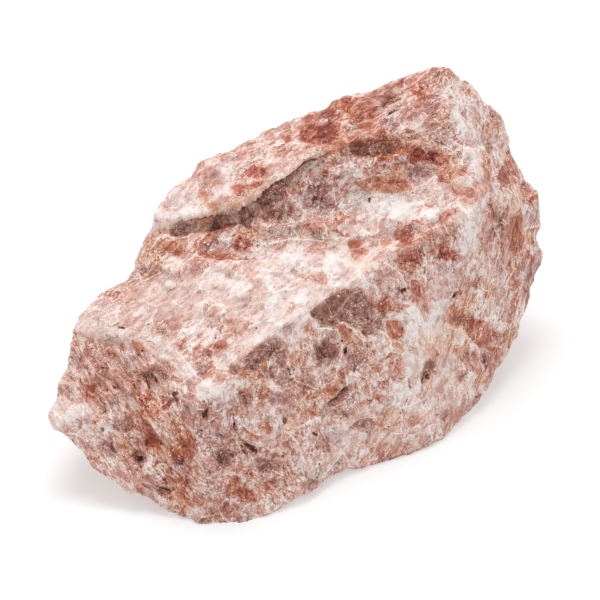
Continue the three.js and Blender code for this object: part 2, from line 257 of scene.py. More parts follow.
# The outside of a cube lattice: six patches of whole-number points, merged where they meet, and their quads.
def cubeLattice(steps):
    a, b = np.meshgrid(np.arange(steps + 1), np.arange(steps + 1), indexing="ij")
    low, high = np.zeros_like(a), np.full_like(a, steps)
    patches = [(high, a, b), (low, b, a), (b, high, a), (a, low, b), (a, b, high), (b, a, low)]
    lattice = np.stack([np.stack(patch, -1) for patch in patches])
    keys = (lattice * [(steps + 1) ** 2, steps + 1, 1]).sum(-1)
    unique, number = np.unique(keys, return_inverse=True)
    number = number.reshape(keys.shape)
    points = np.zeros((len(unique), 3), int)
    points[number.ravel()] = lattice.reshape(-1, 3)
    quads = np.stack([number[:, :-1, :-1], number[:, 1:, :-1], number[:, 1:, 1:], number[:, :-1, 1:]], -1)
    return np.tan((2 * points / steps - 1) * math.pi / 4), quads.reshape(-1, 4)


# The stone in millimetres in the CAD frame: the CAD's own coarse grid says how far its footprint was moved.
def stoneSurface():
    coarse, _ = cubeLattice(stone["cadSteps"])
    cad, _ = surfacePoints(coarse * stone["spacing"], stone["cadEdgeRound"], stone["chipping"])
    low, high = cad.min(0), cad.max(0)
    shift = -np.array([(low[0] + high[0]) / 2, (low[1] + high[1]) / 2, low[2]])
    fine, quads = cubeLattice(stone["steps"])
    chipping = stone["chipping"] + stone["fineChipping"]
    places, hit = surfacePoints(fine * stone["spacing"], stone["edgeRound"], chipping)
    return np.clip(places + shift, low + shift, high + shift), quads, hit, shift


def makeMesh(name, places, quads):
    mesh = bpy.data.meshes.new(name)
    mesh.vertices.add(len(places))
    mesh.vertices.foreach_set("co", (places * mm).astype(np.float32).ravel())
    mesh.loops.add(quads.size)
    mesh.loops.foreach_set("vertex_index", quads.astype(np.int32).ravel())
    mesh.polygons.add(len(quads))
    mesh.polygons.foreach_set("loop_start", np.arange(0, quads.size, 4, dtype=np.int32))
    mesh.update(calc_edges=True)
    mesh.validate()
    mesh.polygons.foreach_set("use_smooth", np.ones(len(mesh.polygons), bool))
    return mesh


# The photograph's camera, in the stone's frame (mm)
def photoCamera(shift):
    turn, rise = math.radians(photoView["turn"]), math.radians(photoView["rise"])
    back = np.array([math.sin(turn) * math.cos(rise), -math.cos(turn) * math.cos(rise), math.sin(rise)])
    right = np.array([math.cos(turn), math.sin(turn), 0])
    focal = photoView["size"] * photoView["lens"] / photoView["sensor"]
    place = np.array(photoView["aim"]) + shift + back * focal / photoView["pixelsPerMm"]
    return {"place": place, "back": back, "right": right, "up": np.cross(back, right), "focal": focal}


# Pixel of each point: x and y are the sideways offsets over the depth, times the focal length.
def toPixels(points, cam):
    away = points - cam["place"]
    depth = -(away @ cam["back"])
    half = photoView["size"] / 2
    return [half + cam["focal"] * (away @ side) / depth for side in (cam["right"], -cam["up"])]


def surfaceUnder(pixel, cam, tree):
    half = photoView["size"] / 2
    ray = cam["right"] * (pixel[0] - half) + cam["up"] * (half - pixel[1]) - cam["back"] * cam["focal"]
    hit = tree.ray_cast(Vector(cam["place"]), Vector(ray))[0]
    return None if hit is None else np.array(hit)


# Grains and stains seen in the photograph, as outlines in its pixels (x,y), one outline a line; a few dark
# ones under the slab's lip are painted shade.
marks = {
    # the smoky outline from 237,209 to 256,227 lies in the dark hollow under the slab's lip: a painted shadow
    "smoky": """310,312 327,299 340,287 352,288 358,287 366,291 370,297 376,311 384,322 384,330 377,327 \
371,336 366,337 358,331 342,322 335,327 323,325 313,318
242,359 250,349 259,346 270,338 279,338 287,346 290,358 284,364 272,360 262,366 252,372 245,366
228,366 239,362 242,369 237,374 231,373
381,100 389,96 398,95 396,100 389,103 383,105
384,84 389,82 391,86 387,88
133,450 143,452 146,460 138,464 131,458
209,450 229,450 237,460 228,465 217,460
256,459 271,457 283,463 281,472 269,475 258,470
349,427 360,418 371,418 375,424 369,430 362,432 356,428
423,371 427,361 433,360 436,366 431,371 426,382 422,383
155,489 166,488 169,492 161,495
484,141 497,140 494,151 490,156 486,150
457,317 466,315 465,323 459,325
237,214 249,209 256,214 256,226 247,227 240,221
340,394 351,383 351,391 341,403 329,410 327,404 334,399
200,413 207,411 208,418 201,421
304,189 314,183 326,189 319,193 306,193
490,197 494,197 494,203 490,203
155,330 165,329 168,336 158,336""",
    # the second and third umber outlines lie in the recess under the slab's lip: painted shade
    "umber": """343,148 359,144 379,141 396,142 402,147 390,154 372,158 356,154
253,203 264,193 273,190 289,190 282,203 268,206
256,211 273,206 292,204 296,212 287,224 261,223 254,217
262,366 284,364 296,369 296,381 284,388 272,379 261,378
142,370 158,367 168,377 163,385 150,386 139,378
168,390 177,387 184,395 177,404 167,402
169,229 180,221 190,229 187,236 176,239 169,235
207,226 216,221 223,226 216,232 209,231
497,206 507,206 507,220 501,231 497,220
403,196 420,193 426,199 417,204 406,203
380,186 396,190 392,195 381,192
313,340 325,338 337,350 336,364 323,372 312,360
279,164 289,161 290,167 280,170
439,411 446,410 448,417 443,425 440,420
113,420 130,418 137,427 127,434 115,428
401,131 411,129 420,134 419,140 409,140
300,379 309,376 316,383 309,390 300,387
218,453 235,453 237,463 225,467 218,460
458,377 466,374 468,380 461,383
240,397 250,393 254,400 246,406
97,383 103,381 106,388 99,390
345,172 352,169 356,175 349,179
206,352 212,353 210,357""",
    "brick": """297,139 300,127 316,124 330,121 341,127 341,134 330,143 307,143
303,119 319,109 327,106 336,111 333,117 314,117 307,120
283,137 289,134 293,139 286,144
336,101 350,98 354,101 343,106
409,159 413,144 421,149 443,151 450,160 453,169 445,170 437,163 423,160 411,163
437,173 444,170 451,173 453,180 449,184 439,181
457,170 466,167 466,174 460,177
230,246 239,237 250,239 253,246 244,253 236,253
374,306 388,297 406,307 400,313 387,313 384,318
384,320 398,318 404,330 401,341 392,340 388,335
423,304 432,305 430,314 424,311
237,179 244,170 256,164 266,166 267,173 259,179 249,181 243,179
233,187 239,184 249,186 259,181 267,181 263,187 254,190 244,190 239,197 234,194
207,201 214,200 216,206 210,208
223,199 227,196 227,201
440,244 449,248 459,254 456,263 446,262 440,258
520,184 527,181 534,191 532,204 523,203 521,193
347,243 358,239 366,242 360,248 350,249
315,347 326,345 330,355 325,364 317,360
466,317 477,317 489,325 500,334 494,350 483,349 471,340 466,331
410,89 423,86 437,80 441,83 434,89 420,94 411,93
240,473 250,469 256,477 244,478
276,481 281,479 281,486
257,479 261,478 262,487
164,203 168,197 174,201 168,208
378,380 388,378 391,388 383,393 377,388
144,440 152,438 155,446 147,450
375,392 386,395 382,402 374,400""",
    "pinkRed": """397,79 406,77 407,84 399,85
460,86 471,88 469,96 463,94
474,96 489,94 494,106 483,107 477,101
486,114 500,115 501,127 498,140 486,140 483,128
497,173 509,157 509,171 517,169 521,181 511,186 500,181
447,187 460,181 469,183 477,194 479,204 466,203 457,197
393,231 405,218 413,223 412,242 402,247 397,240
82,383 98,382 100,398 85,396
262,481 276,476 281,489 268,494
234,487 250,486 260,496 256,503 241,498
208,342 223,338 230,345 222,351 208,349
353,249 365,246 370,250 363,261 353,263 348,253
398,255 420,250 421,266 408,270 397,268
310,273 323,270 330,280 327,287 317,283
437,214 451,208 460,211 441,224
509,286 517,280 520,284 512,289
449,317 456,306 457,324 449,329
292,345 303,340 310,352 302,372 293,362
388,362 402,356 408,372 398,385 390,378
160,395 172,400 168,412 158,406
410,290 421,284 428,296 418,303
256,424 268,420 275,430 265,438""",
    "rust": """356,184 376,176 387,176 406,181 413,187 400,194 387,194 364,191
163,241 184,240 184,249 179,256 164,251
301,409 310,406 321,410 320,417 313,419 303,415
489,204 494,201 495,217 491,223 488,216
509,216 524,216 524,240 520,254 511,249 507,234
483,280 491,279 494,294 486,297
160,360 170,362 177,370 168,373
350,120 356,118 360,121 355,124
314,157 325,153 339,150 339,153 325,157
376,152 388,153 391,160 381,163 376,158
198,192 206,191 210,198 201,200
199,254 216,252 236,252 246,258 226,261 205,259
93,416 100,415 101,422 95,424
340,142 352,141 380,137 398,137 376,142 352,146
176,445 192,438 200,444 190,455 178,452
412,205 428,203 436,210 424,213
130,340 140,344 146,352 136,352
355,404 374,398 372,404 360,408
250,432 262,436 256,442 248,438""",
    "mauve": """147,340 160,343 173,352 177,360 163,353 150,347
199,251 210,240 219,243 216,252 207,257
311,174 326,170 330,181 324,189 307,183
406,167 414,163 424,166 426,177 421,186 413,184 407,177
393,160 407,156 410,163 401,167 393,167
301,200 306,195 330,197 336,201 327,213 321,215 303,206
209,169 221,159 241,154 249,156 239,160 224,165 216,177 210,178
215,428 227,427 231,433 222,440 214,435
175,458 187,462 183,474 172,470
524,206 536,209 536,224 529,221
501,227 510,224 509,241 503,242
496,260 507,259 507,271 500,275
410,380 416,363 421,360 417,371 413,381
322,437 336,428 346,432 342,442 330,447
345,355 358,352 364,366 352,372
340,410 352,407 350,415 341,417
100,440 112,446 122,456 112,455 102,448
268,395 284,393 286,404 272,406
478,352 490,352 488,366 478,364
440,262 454,264 450,276 438,274""",
    "grey": """277,325 288,324 293,328 283,333 277,329
220,402 233,400 238,403 230,408 221,407
389,109 403,101 413,100 404,106 390,117
347,125 361,120 356,133 344,133
307,163 343,154 321,169 304,176
424,170 430,166 437,170 436,179 427,176
316,467 343,454 341,464 321,480 307,488 309,474
262,226 284,228 300,222 302,234 280,240 262,236
352,190 366,186 374,196 366,204 354,202
237,259 246,258 255,261 244,262
183,404 190,403 193,410 185,413
110,398 116,395 120,404 117,413 111,410
67,383 73,384 74,394 67,394
305,236 326,234 334,241 318,244 306,242
372,333 379,327 384,333 378,337
328,318 338,330 334,338 324,330""",
    "milk": """368,338 380,333 390,343 392,350 385,356 378,355 370,347
335,228 347,222 362,227 375,235 363,238 350,238 337,233
377,216 385,215 387,220 378,222
333,257 347,255 350,262 343,266 333,263
255,275 272,277 268,281 258,282
287,255 307,258 305,262 292,262
290,298 302,289 316,292 308,304 296,306
225,286 240,282 252,290 240,298 228,295
219,239 229,230 236,237 230,246
330,170 350,163 363,173 363,179 347,183 339,181
421,100 433,100 434,107 426,107
447,101 459,110 466,124 466,140 456,139 456,124 446,116
467,149 477,149 483,157 483,179 477,183 471,169
336,123 347,119 348,124 343,127
406,310 417,306 424,313 421,323 416,320 409,316
404,327 411,321 419,327 414,334 406,333
410,389 421,381 423,386 416,395 409,399
190,407 198,400 206,406 200,411 193,413
220,396 227,394 232,398 228,402
68,409 87,402 91,413 77,422 66,419
98,433 104,432 105,440 97,443
143,467 150,465 153,475 145,476
217,498 236,498 234,503 219,502
287,457 294,455 299,464 291,462
340,376 352,369 362,375 356,383 344,383
476,289 480,280 482,304 477,306
493,311 497,313 495,330 490,323
519,297 524,294 523,314 516,313
460,241 466,243 464,257 460,254
292,368 298,366 300,374 294,376
261,366 268,363 272,368 264,370
160,187 178,186 190,196 178,208 164,204
243,176 253,174 256,179 247,183
208,186 226,184 230,196 216,199
419,215 434,206 444,210 437,221 427,223
119,405 124,402 128,410 122,415
182,330 200,326 204,334 188,338
127,312 146,308 150,316 132,318
165,283 184,282 186,288 168,290
470,394 482,388 486,393 474,400
396,440 410,434 424,434 404,444
236,418 246,416 250,424 240,426
152,420 158,418 160,424 154,427""",
    "cream": """506,194 517,190 523,197 520,211 509,214 506,204
450,331 459,327 466,333 467,343 457,348 451,343
341,320 346,321 362,332 369,340 366,342 354,334 343,328
134,257 142,254 150,258 148,268 138,270
160,256 176,258 186,266 176,274 162,270
376,152 382,150 384,156 378,158
352,268 366,263 372,268 360,275 354,276
385,246 396,243 398,250 388,254
386,114 396,117 402,125 394,123
196,386 206,384 208,394 198,396
262,445 276,446 288,452 284,456 270,452""",
    "tan": """225,320 237,317 260,325 255,333 243,338 230,329
235,295 250,295 248,300 238,299
401,113 414,103 433,109 443,116 443,124 430,129 414,124 403,120
203,305 214,302 219,310 212,318 204,314
300,222 318,216 334,222 330,232 312,234
282,306 292,302 298,308 290,314
150,300 168,296 172,302 156,307
102,346 116,350 120,358 108,358
404,418 420,412 426,420 412,428
352,380 366,380 368,388 356,390
430,338 438,332 442,342 434,350""",
    # the two long thin speck outlines follow the slab's lip: painted shadow in the crack under its edge
    "speck": """299,189 304,188 304,193 300,193
298,198 301,201 298,204
256,244 259,244 259,248 256,247
341,339 344,340 344,343 341,342
344,350 348,346 348,352 345,355
283,416 288,418 288,424 284,423
312,430 319,434 318,437 313,434
234,421 238,424 240,434 236,431
243,442 250,444 261,452 258,454 248,449
440,141 448,143 449,146 441,144
387,113 392,109 397,108 392,114
444,196 448,199 445,200
452,299 455,292 459,291 457,297
401,290 406,287 408,289 403,294
136,456 142,456 141,461 137,461
204,414 207,412 206,418
428,374 431,373 431,379 428,380
402,410 405,408 403,416
342,391 347,386 347,392 342,395
286,178 298,170 306,162 307,164 299,172 287,180
235,213 246,209 256,202 267,190 268,192 258,204 247,211 236,215
100,428 104,427 104,433 101,433
111,384 115,386 115,390 112,388
151,371 155,377 157,384 154,380
366,199 371,196 370,203
117,325 125,326 125,328 118,328""",
}
# Lines seen in the photograph: the slab's lip with its cream edge above, cracks, pale veins between grains;
# the first two cracks, under the lip, are darkened as painted shadow
lines = {
    "lip": """186,221 200,219 218,215 234,213 245,208 253,204 260,198 266,191 276,184 286,178 297,171 \
304,164 318,157""",
    # the first two crack lines run under the slab's lip: their darkening is painted shadow there
    "crack": """265,191 274,185 281,180
286,178 296,172 303,164
140,374 147,384 151,395
234,416 236,429 242,440 257,449
234,258 246,259 254,257
429,372 424,379 422,386
382,104 390,99 398,97
376,142 392,140 407,142
160,487 170,490
404,408 410,394 411,380
299,188 305,184 312,183
346,389 340,398 330,405
437,141 444,142 449,146
387,115 393,111 398,109
205,415 207,409
489,203 495,210 494,219""",
    "vein": """255,206 252,230 258,244
299,204 304,212 322,218 326,236
308,178 304,194 316,195
288,190 290,198 299,204
332,180 336,206 326,218
270,244 290,239 324,242
334,378 340,363 342,344 336,330 316,328
339,320 358,336 370,346 376,355
290,366 296,382 310,386 318,390
345,430 358,419 374,417
370,344 382,356 391,350 390,340 382,332
134,286 150,278 174,264
206,310 220,304 228,309
250,328 268,316 279,300
177,352 184,360 198,378 210,388
402,157 414,168 432,172
336,206 352,204 372,196
398,216 412,206 430,198
444,226 452,240 450,262
384,262 400,274 408,290
96,390 108,402 112,420
190,392 204,398 214,408
270,470 284,476 292,490
478,300 486,318 480,340
494,222 500,246 494,268
458,118 464,140 462,164""",
}
# Soft washes along lines in the picture: pixels, half width in mm, then how much paler, more stained, clearer
# and chalkier the stone is there; part of the paleness is painted light, as noted by each such wash
washes = {
    # the two bruised lines are pale frosting on the broken ridges, made paler as a painted highlight along the
    # edges
    "bruisedRidgeAndHighlight": ("450,80 465,105 470,150 480,200 478,222 462,255 436,301 417,343 410,379 399,399 "
                     "374,411 349,425 344,437", 1.5, 0.12, -0.08, 0, 0),
    "bruisedCornerAndHighlight": ("78,325 110,331 140,340 165,350 190,374 208,392 222,398", 1.3, 0.16, -0.1, 0, 0.4),
    "whiteLedge": ("250,300 300,278 345,262", 5.0, 0.12, -0.3, -0.1, 0.38),
    "paleLedge": ("105,325 150,305 200,295", 4.5, 0.015, -0.2, 0.05, 0.5),
    "rose": ("395,205 430,195 455,190", 4.2, 0.27, -0.2, 0, 0.05),
    "ledgeEdge": ("213,385 228,362 245,345 275,330 300,315 330,290", 1.5, 0.12, -0.2, -0.1, 0.3),
    "riser": ("150,250 190,240 230,240", 3.6, -0.03, 0.3, 0, 0),
    "hollow": ("250,215 290,208 330,200 360,190", 4.5, -0.02, 0, 0.22, 0),
    "slabFoot": ("175,205 205,200 230,190", 4.5, 0.12, 0, 0, 0.2),
    "redCrest": ("290,130 330,115 400,90 440,75", 3.6, -0.08, 0.05, 0, 0),
    "redHollow": ("350,150 400,165 450,172", 4.2, -0.12, 0.3, 0, -0.2),
    "leftEnd": ("100,360 130,410 180,440", 8.0, -0.10, 0.14, 0, -0.2),
    "foot": ("190,480 230,500 290,490", 4.5, 0.01, 0.08, 0, 0),
    "tipPale": ("60,418 85,412", 3.2, 0.24, 0, 0, 0.2),
    # the flank's paleness is partly painted light on the front flank, its stain the stone's own
    "flankStainAndPaintedLight": ("270,400 320,360 390,320", 7.0, 0.07, 0.13, 0, -0.2),
    "rightSide": ("510,180 518,230 510,290 490,340", 5.5, 0.02, 0.15, 0, 0),
    "lowSide": ("430,330 440,370 420,400", 4.0, 0.12, 0.1, 0, 0),
    "lowRim": ("312,470 345,445 400,430 450,410", 2.8, 0.04, -0.1, 0.05, 0.1),
}
# Marks on the sides the camera doesn't see: how many, seed, half sizes in mm, and the share of each kind.
# Washes there: amount, size in mm, seed.
hidden = {
    "marks": 620, "seed": 7, "half": (0.5, 3.2), "speckSize": 0.25,
    "share": {"smoky": 0.10, "umber": 0.10, "brick": 0.12, "pinkRed": 0.12, "rust": 0.1, "mauve": 0.1,
              "grey": 0.08, "milk": 0.18, "cream": 0.04, "tan": 0.04, "speck": 0.02},
    "washes": {"paler": (0.11, 9, 51), "stained": (0.3, 12, 52), "clear": (0.15, 8, 53),
               "chalky": (0.4, 10, 54)},
}
# Which faces take marks, by the way to the camera along their normal in mm: below 0 they are turned away.
facingLimits = {"marks": -20, "lines": -10, "hidden": 25, "hiddenWashes": 20}
offMark, offLine = -1.0, 9.0  # field values in mm where there is no mark or line


def outlinePoints(text):
    return np.array([pair.split(",") for pair in text.split()], float)


# Distance in mm to the line through picture points: each step's nearest point is at t from 0 to 1 along it.
# The side is that distance with a sign: above 0 on the left of the line as it is walked, where a x b < 0.
def lineDistance(pixels, line):
    near, side = np.full(len(pixels), np.inf), np.zeros(len(pixels))
    for a, b in zip(line[:-1], line[1:]):
        away = pixels - a
        t = np.clip(away @ (b - a) / ((b - a) @ (b - a)), 0, 1)
        gap = np.hypot(*(away - t[:, None] * (b - a)).T)
        left = (b[0] - a[0]) * away[:, 1] < (b[1] - a[1]) * away[:, 0]
        side = np.where(gap < near, np.where(left, gap, -gap), side)
        near = np.minimum(near, gap)
    return near / photoView["pixelsPerMm"], side / photoView["pixelsPerMm"]


# How deep each pixel is inside an outline, in mm: below 0 outside, where a level line from the pixel crosses
# the outline an even number of times.
def insideDepth(pixels, outline):
    following = np.roll(outline, -1, axis=0)
    inside = np.zeros(len(pixels), bool)
    for (ax, ay), (bx, by) in zip(outline, following):
        if ay != by:
            crosses = (ay > pixels[:, 1]) != (by > pixels[:, 1])
            inside ^= crosses & (pixels[:, 0] < ax + (pixels[:, 1] - ay) * (bx - ax) / (by - ay))
    depth = lineDistance(pixels, np.vstack([outline, outline[:1]]))[0]
    return np.where(inside, depth, -depth)


# Fields in mm, above 0 inside a mark: photographed marks are laid on the face under them, hidden ones at
# random. The washes' fields hold how much paler, more stained, clearer and chalkier the stone is; part of the
# paleness is painted light.
def paintFields(places, quads, cam):
    tree = BVHTree.FromPolygons(places.tolist(), quads.tolist())
    pixels = np.stack(toPixels(places, cam), 1)
    normals = vertexNormals(places, quads)
    facing = ((cam["place"] - places) * normals).sum(1)
    fields = {name: np.full(len(places), offMark) for name in marks}
    for name, outlines in marks.items():
        for text in outlines.splitlines():
            outline = outlinePoints(text)
            middle = outline.mean(0)
            spot = surfaceUnder(middle, cam, tree)
            if spot is None:
                print("mark off the stone:", name, text)
                continue
            spread = np.hypot(*(outline - middle).T).max() / photoView["pixelsPerMm"] + 1
            near = (np.linalg.norm(places - spot, axis=1) < 2.2 * spread) & (facing > facingLimits["marks"])
            near &= np.hypot(*(pixels - middle).T) < spread * photoView["pixelsPerMm"]
            fields[name][near] = np.maximum(fields[name][near], insideDepth(pixels[near], outline))
    for name, drawn in lines.items():
        near = side = np.full(len(places), offLine)
        for text in drawn.splitlines():
            gap, level = lineDistance(pixels, outlinePoints(text))
            closer = (gap < near) & (facing > facingLimits["lines"])
            near, side = np.where(closer, gap, near), np.where(closer, level, side)
        fields[name + "Near"], fields[name + "Side"] = near, side
    soft = np.zeros((4, len(places)))
    for text, half, *amounts in washes.values():
        weight = np.exp(-(lineDistance(pixels, outlinePoints(text))[0] / half) ** 2)
        soft += weight * (facing > facingLimits["lines"]) * np.array(amounts)[:, None]
    random = np.random.default_rng(hidden["seed"])
    unseen = np.where(facing < 0)[0]
    for name, share in hidden["share"].items():
        for _ in range(int(hidden["marks"] * share)):
            spot = places[random.choice(unseen)]
            axes = np.linalg.qr(random.normal(size=(3, 3)))[0]
            low, high = hidden["half"]
            halves = low + (high - low) * random.random(3) ** 2
            halves *= hidden["speckSize"] if name == "speck" else 1
            near = np.linalg.norm(places - spot, axis=1) < 2 * halves.max() + 1
            near &= facing < facingLimits["hidden"]
            depth = (1 - np.linalg.norm((places[near] - spot) @ axes / halves, axis=1)) * halves.min()
            fields[name][near] = np.maximum(fields[name][near], depth)
    turnedAway = np.clip(-facing / facingLimits["hiddenWashes"], 0, 1)
    for values, (name, (amount, size, seed)) in zip(soft, hidden["washes"].items()):
        fields[name] = values + turnedAway * amount * swellAt(places, size, seed)
    return fields


# How far grains and edges stand proud of the broken faces, or lie below them, in mm
grainRelief = {"smoky": -0.35, "umber": -0.18, "brick": -0.2, "pinkRed": -0.1, "mauve": -0.1, "grey": 0.12,
               "milk": 0.22, "cream": 0.2, "tan": 0.12, "speck": -0.4}
lineRelief = {"rim": 0.4, "edge": 0.55, "gap": -0.7, "width": 1.3, "crack": -0.3, "crackWidth": 0.45,
              "vein": 0.1}


# Each mark lifts the surface by its relief, rising over a rim. The lip's edge and gap fade away from its line
# between half and one and a half times their width. The whole stays inside the CAD's box.
def embossed(places, quads, fields):
    lift = np.zeros(len(places))
    for name, amount in grainRelief.items():
        lift += amount * np.clip(fields[name] / lineRelief["rim"] + 0.5, 0, 1)
    fade = np.clip(1.5 - fields["lipNear"] / lineRelief["width"], 0, 1)
    lift += fade * np.where(fields["lipSide"] > 0, lineRelief["edge"], lineRelief["gap"])
    lift += lineRelief["crack"] * np.exp(-(fields["crackNear"] / lineRelief["crackWidth"]) ** 2)
    lift += lineRelief["vein"] * np.exp(-(fields["veinNear"] / lineRelief["crackWidth"]) ** 2)
    return np.clip(places + vertexNormals(places, quads) * lift[:, None], *(np.array(cadBox) / mm))


# Average of the normals of the quads round each vertex: the cross product of a quad's diagonals.
def vertexNormals(places, quads):
    flat = np.cross(places[quads[:, 2]] - places[quads[:, 0]], places[quads[:, 3]] - places[quads[:, 1]])
    total = np.zeros_like(places)
    for column in range(4):
        np.add.at(total, quads[:, column], flat)
    return unit(total)


def addField(mesh, name, values):
    kind, key = ("FLOAT", "value") if values.ndim == 1 else ("FLOAT_VECTOR", "vector")
    mesh.attributes.new(name, kind, "POINT").data.foreach_set(key, values.astype(np.float32).ravel())


# Which way the rock's threads run on each group of facets, and how many times they are drawn out
flows = {
    (0.19, -0.81, -0.58, 2.8): "end underA rearLow",
    (0.55, 0.2, 0.8, 3.0): "side hipF underH underG",
    (0.2, 0.0, 0.98, 2.2): "sideTop backF",
    (0.8, 0.2, 0.45, 2.4): "heel",
    (0.10, -0.35, -0.9, 1.3): "flankLow flankHigh",
    (0.97, 0.15, 0.15, 3.2): "ledgeLeft ledgeRight riser shelf slabLeft slabMid slabRight backA backB backC "
                             "backD",
    (0.90, 0.35, -0.05, 1.5): "upper gapLeft gapMid gapRight gapEnd gapTail",
}


# The place in mm with its part along the threads shortened, so that a pattern read there is drawn out.
# A second field is 1 where two such patterns meet, 0 elsewhere: the plain pattern covers the join.
def flowPlaces(places, quads, hit):
    facetNames = list(stone["facets"])
    drawn, group = places.copy(), np.zeros(len(places), int)
    for number, ((x, y, z, times), names) in enumerate(flows.items(), 1):
        here = np.isin(hit, [facetNames.index(name) for name in names.split()])
        along = unit(np.array([x, y, z]))
        drawn[here] -= (1 - 1 / times) * (places[here] @ along)[:, None] * along
        group[here] = number
    join = np.zeros(len(places))
    join[quads[group[quads].min(1) != group[quads].max(1)]] = 1
    return drawn, join


def linear(hexColour):
    values = [int(hexColour[i:i + 2], 16) / 255 for i in (1, 3, 5)]
    return [v / 12.92 if v <= 0.04045 else ((v + 0.055) / 1.055) ** 2.4 for v in values] + [1]


# Adds a node with its settings. Its inputs, in order or by name, are values or other nodes' outputs.
def addNode(tree, kind, inputs, output=0, **settings):
    node = tree.nodes.new("ShaderNode" + kind)
    for name, value in settings.items():
        setattr(node, name, value)
    for key, value in inputs.items() if isinstance(inputs, dict) else enumerate(inputs):
        if isinstance(value, bpy.types.NodeSocket):
            tree.links.new(value, node.inputs[key])
        else:
            node.inputs[key].default_value = value
    return node.outputs[output] if node.outputs else node


aventurine = {
    # common name: aventurine, a quartzite; broken, not worn: interlocked glassy grains, iron stain, mica
    # patterns of cells in mm across: the real grains are 2 to 5 mm, the pits are far apart
    "grain": 3.6, "smallGrain": 1.5, "pit": 1.15,
    # patterns of noise: size in mm, detail, roughness, distortion; some run along the rock's flow
    "noises": {
        "cloud": (6.5, 2), "hue": (5, 3, 0.6), "mottle": (0.748, 4, 0.72, 0.6), "curl": (0.612, 1, 0.5, 1.4),
        "seam": (3.2, 2, 0.6, 0.8), "grit": (0.17, 1), "threadPatches": (2.8, 1), "crackPatches": (1.9, 1),
        "rimPatches": (3.5, 1), "flecks": (0.24, 0), "fleckPatches": (2.6, 1), "wobble": (1.3, 2),
    },
    "drawnOut": ("mottle", "curl", "seam"),
    "bends": ((4, 2.2), (0.7, 0.45)), "flowBend": (1.6, 1.2),  # mm: their size, how far they move a pattern
    # each shape is a product of soft steps: a value at the first number gives 0, one at the second gives 1
    "shapes": {
        "mottle": [("mottle", 0.40, 0.60)], "mark": [("mark", -0.03, 0.06)],
        "threads": [("curl", 0.10, 0.02), ("threadPatches", 0.40, 0.58)],
        "cracks": [("seam", 0.03, 0.008), ("crackPatches", 0.54, 0.62)],
        "edge": [("lipSide", 0, 0.12), ("lipSide", 1.6, 0.6), ("lipNear", 2, 1.4)],
        "gap": [("lipGap", 0.16, 0.06), ("lipNear", 1, 0.7)],
        "shade": [("lipSide", -2.2, -0.1), ("lipSide", 0, -0.1), ("lipNear", 3, 2.2)],
        "split": [("crackGap", 0.10, 0.03), ("crackNear", 0.6, 0.3)],
        "vein": [("veinGap", 0.13, 0.04), ("veinNear", 0.8, 0.4)],
        "rims": [("rim", 0.143, 0.055), ("rimPatches", 0.48, 0.60)],
        "pits": [("pit", 0.16, 0.08), ("pitChance", 0.80, 0.82)],
        "flecks": [("flecks", 0.66, 0.72), ("fleckPatches", 0.45, 0.62)],
    },
    # tone of each spot, 0 dark to 1 white: its mean, and what each pattern adds at most
    "mean": 0.615,
    "tones": {
        "grain": 0.24, "smallGrain": 0.14, "cloud": 0.21, "mottle": 0.34, "threads": 0.16, "cracks": -0.3,
        # gap paints shadow into the crack under the slab's lip, and shade paints the shade below the lip
        "grit": 0.65, "edge": 0.03, "gap": -0.45, "shade": -0.14, "split": -0.4, "vein": 0.26, "rims": 0.22,
        # the flecks' pale dots are painted glints of the mica
        "pits": -0.5, "flecks": 0.45,
    },
    # soft steps with the values they give: less mottle where it is paler, a creamier lip by the cloud
    "calm": (0, 0.13, 1.1, 0.68), "chalkCalms": 0.3, "creamEdge": (0.3, 0.6, 0.35, 0.9),
    # the same where grains take a palette by chance: the last value is how much of it shows at most
    "chances": {"rust": (0.12, 0.36, 0, 0.9), "mauve": (0.20, 0.42, 0, 0.6), "clear": (0.32, 0.46, 0, 0.6),
                "red": (0.30, 0.45, 0, 0.8), "milky": (0.1, 0.6, 0, 0.8)},
    # colours from dark to light of the same grains
    "tonePlaces": (0, 0.2, 0.4, 0.55, 0.7, 0.85, 1),
    "rose": "#5c3027 #8f5242 #b67967 #cc9888 #deb8ac #edd7cf #f9f0ed",
    "rust": "#4c2014 #833a23 #ab5b3e #c57c5c #d9a184 #e8c8b3 #f5e4d9",
    "red": "#4c1d15 #82372a #ab5642 #c57a63 #d9a08c #ebc9bb #f7e6de",
    "mauve": "#4d2e30 #7a4a4c #a07070 #b98f8d #d0b0ae #e6d2d0 #f6eeed",
    "clear": "#47332b #775749 #9e7d70 #b99e92 #d0bab0 #e5d5cd #f7efeb",
    "brown": "#331a13 #5f3629 #8a5646 #a87869 #c29788 #dab7aa #f3e6e1",
    "cream": "#6f4430 #a06b50 #c89475 #dcb194 #ebccb7 #f4e0d4 #fbf2ed",
    "milky": "#90706a #b08e86 #cbaaa1 #dabcb3 #e7cfc7 #f1e0da #faf3f0",
    # each mark: its palette, how strongly it takes it, how much lighter or darker it is
    "minerals": {
        "tan": ("rust", 0.4, -0.09), "grey": ("clear", 0.75, -0.08), "mauve": ("mauve", 0.7, -0.11),
        "rust": ("rust", 0.85, -0.13), "pinkRed": ("red", 0.8, -0.15), "brick": ("red", 0.95, -0.22),
        "umber": ("brown", 0.7, -0.14), "smoky": ("brown", 0.85, -0.16), "milk": ("milky", 0.55, 0.09),
        "cream": ("cream", 0.85, 0.05), "speck": ("brown", 1.0, -0.4),
    },
    # quartz: IOR 1.54; broken grains are half dull, mica flecks shine; a little light goes in, most of it red
    "roughness": (0.35, 0.65, 0.42, 0.68), "fleckShine": -0.3, "bump": 0.18,  # mm
    "bumps": {"grit": 0.3, "smallGrain": 0.25, "pits": -0.6, "cracks": -0.6},
    "surface": {"IOR": 1.54, "Specular IOR Level": 0.25, "Subsurface Weight": 0.1,
                "Subsurface Radius": (1.0, 0.6, 0.5), "Subsurface Scale": 0.0008},
}


